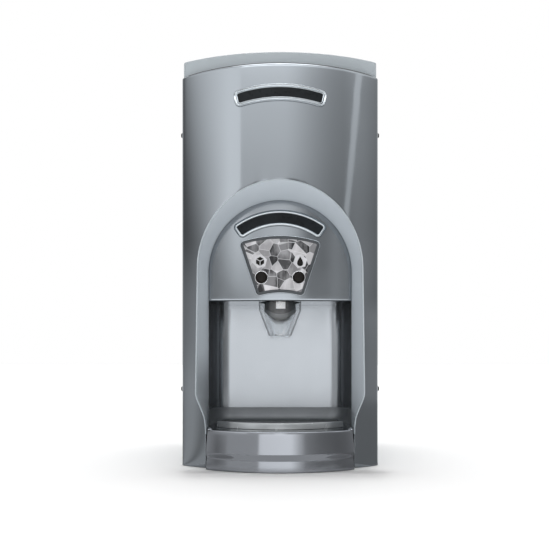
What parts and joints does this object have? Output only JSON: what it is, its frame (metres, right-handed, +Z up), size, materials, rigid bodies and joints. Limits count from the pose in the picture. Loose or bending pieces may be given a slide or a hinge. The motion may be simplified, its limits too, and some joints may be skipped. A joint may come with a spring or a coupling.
{
  "type": "ice and water dispenser",
  "caption": "Countertop ice and water dispenser with a bowed silver front, an arched alcove, push buttons, a clear spout and a drip sink with a lift-off grille",
  "frame": {"origin": "on the counter, under the middle of the machine's box", "axes": "+Z up, front faces -Y, +X to the right as seen from the front"},
  "size_m": [0.421, 0.58, 0.85],
  "materials": {
    "silver_plastic": "metallic silver lacquer",
    "cover_plastic": "fine moulded grey",
    "cabinet_paint": "satin silver paint",
    "zinc_sheet": "zinc plated",
    "plate_black": "gloss",
    "bezel_grey": "satin",
    "overlay_print": "printed film",
    "button_black": "gloss",
    "ring_chrome": "polished",
    "spout_clear": "clear, lightly smoked",
    "chute_dark": "satin",
    "grille_grey": "satin metallic",
    "screw_dark": "black oxide",
    "screw_zinc": "zinc plated",
    "food_plastic": "natural white",
    "motor_paint": "grey enamel",
    "stainless": "brushed",
    "foam": "closed cell foam",
    "compressor_paint": "black enamel",
    "mount_rubber": "matte",
    "condenser_fin": "mill finish",
    "fan_plastic": "satin",
    "tube_plastic": "natural",
    "valve_plastic": "satin",
    "fitting_brass": "machined",
    "board_green": "lacquered",
    "switch_black": "satin",
    "float_orange": "satin"
  },
  "bodies": {
    "cabinet": {"front_panel": "silver_plastic", "alcove_liner": "silver_plastic", "console_hood": "silver_plastic", "sink_basin": "silver_plastic", "top_cover": "cover_plastic", "left_side_panel": "cabinet_paint", "right_side_panel": "cabinet_paint", "back_panel": "cabinet_paint", "base_pan": "zinc_sheet", "shelf": "zinc_sheet", "reservoir_bracket": "zinc_sheet", "control_box": "zinc_sheet", "control_box_cover": "zinc_sheet", "upper_name_plate": "plate_black", "console_name_plate": "plate_black", "control_bezel": "bezel_grey", "control_overlay": "overlay_print", "button_rings": "ring_chrome", "ice_spout": "spout_clear", "ice_chute": "chute_dark", "water_nozzle": "chute_dark", "panel_screws": "screw_dark", "back_screws": "screw_zinc", "ice_bin": "food_plastic", "bin_lid": "food_plastic", "ice_transfer_tube": "food_plastic", "reservoir": "food_plastic", "reservoir_lid": "food_plastic", "float_valve": "food_plastic", "agitator_motor": "motor_paint", "gate_solenoid": "motor_paint", "gear_reducer": "motor_paint", "auger_motor": "motor_paint", "fan_motor": "motor_paint", "evaporator": "stainless", "extruder_head": "stainless", "evaporator_insulation": "foam", "compressor": "compressor_paint", "compressor_mounts": "mount_rubber", "condenser": "condenser_fin", "fan_shroud": "fan_plastic", "gate_guides": "fan_plastic", "button_switches": "fan_plastic", "water_tubes": "tube_plastic", "drain_pipe": "tube_plastic", "water_valve": "valve_plastic", "inlet_fitting": "fitting_brass", "control_board": "board_green", "switch_body": "switch_black", "cord_gland": "switch_black"},
    "ice_button": {"ice_button": "button_black"},
    "water_button": {"water_button": "button_black"},
    "grille": {"cup_grille": "grille_grey"},
    "gate": {"ice_gate": "stainless", "gate_plunger": "screw_zinc"},
    "agitator": {"agitator": "stainless"},
    "auger": {"auger": "stainless"},
    "fan": {"fan_blade": "fan_plastic"},
    "float": {"float_arm": "float_orange"},
    "rocker": {"switch_rocker": "switch_black"}
  },
  "joints": [
    {"name": "ice_button_press", "type": "slide", "parent": "cabinet", "child": "ice_button", "axis": [0, 1, 0], "range_m": [0, 0.003], "stiffness_N_per_m": 500},
    {"name": "water_button_press", "type": "slide", "parent": "cabinet", "child": "water_button", "axis": [0, 1, 0], "range_m": [0, 0.003], "stiffness_N_per_m": 500},
    {"name": "grille_lift", "type": "slide", "parent": "cabinet", "child": "grille", "axis": [0, 0, 1], "range_m": [0, 0.06]},
    {"name": "gate_slide", "type": "slide", "parent": "cabinet", "child": "gate", "axis": [1, 0, 0], "range_m": [0, 0.055], "stiffness_N_per_m": 120},
    {"name": "agitator_turn", "type": "hinge", "parent": "cabinet", "child": "agitator", "pos_m": [0, 0.02, 0.42], "axis": [0, 0, 1], "continuous": true},
    {"name": "auger_turn", "type": "hinge", "parent": "cabinet", "child": "auger", "pos_m": [-0.11, 0.2005, 0.5], "axis": [0, 0, 1], "continuous": true},
    {"name": "fan_turn", "type": "hinge", "parent": "cabinet", "child": "fan", "pos_m": [0.062, 0.205, 0.125], "axis": [0, 1, 0], "continuous": true},
    {"name": "float_swing", "type": "hinge", "parent": "cabinet", "child": "float", "pos_m": [0.144, 0.2225, 0.628], "axis": [0, 1, 0], "range_deg": [0, 30]},
    {"name": "rocker_tilt", "type": "hinge", "parent": "cabinet", "child": "rocker", "pos_m": [-0.15, 0.269, 0.3], "axis": [1, 0, 0], "range_deg": [-10, 10]}
  ]
}
